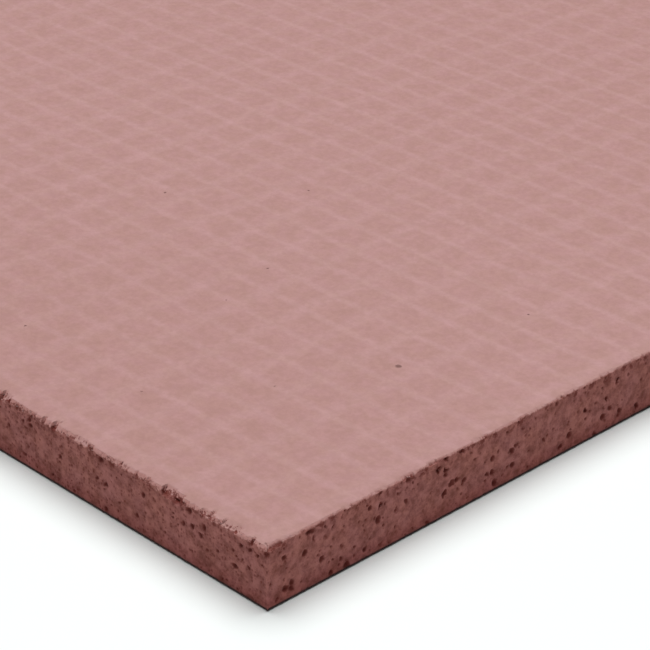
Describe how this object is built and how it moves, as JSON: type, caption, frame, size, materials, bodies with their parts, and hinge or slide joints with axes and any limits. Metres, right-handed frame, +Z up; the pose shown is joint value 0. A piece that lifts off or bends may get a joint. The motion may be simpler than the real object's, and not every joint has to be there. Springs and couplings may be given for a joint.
{
  "type": "magnesium oxide board",
  "caption": "Flat rectangular pink building board with square sawn edges, for lining walls, ceilings and floors.",
  "frame": {"origin": "middle of the underside, which is the face that lies on the floor", "axes": "+X along the sheet's length, +Y across its width, +Z up through its thickness towards the face that shows the mesh"},
  "size_m": [2.4, 1.2, 0.006],
  "materials": {
    "magnesium_oxide": "matt cast face, porous sawn edges"
  },
  "bodies": {
    "root": {"board": "magnesium_oxide"}
  },
  "joints": []
}
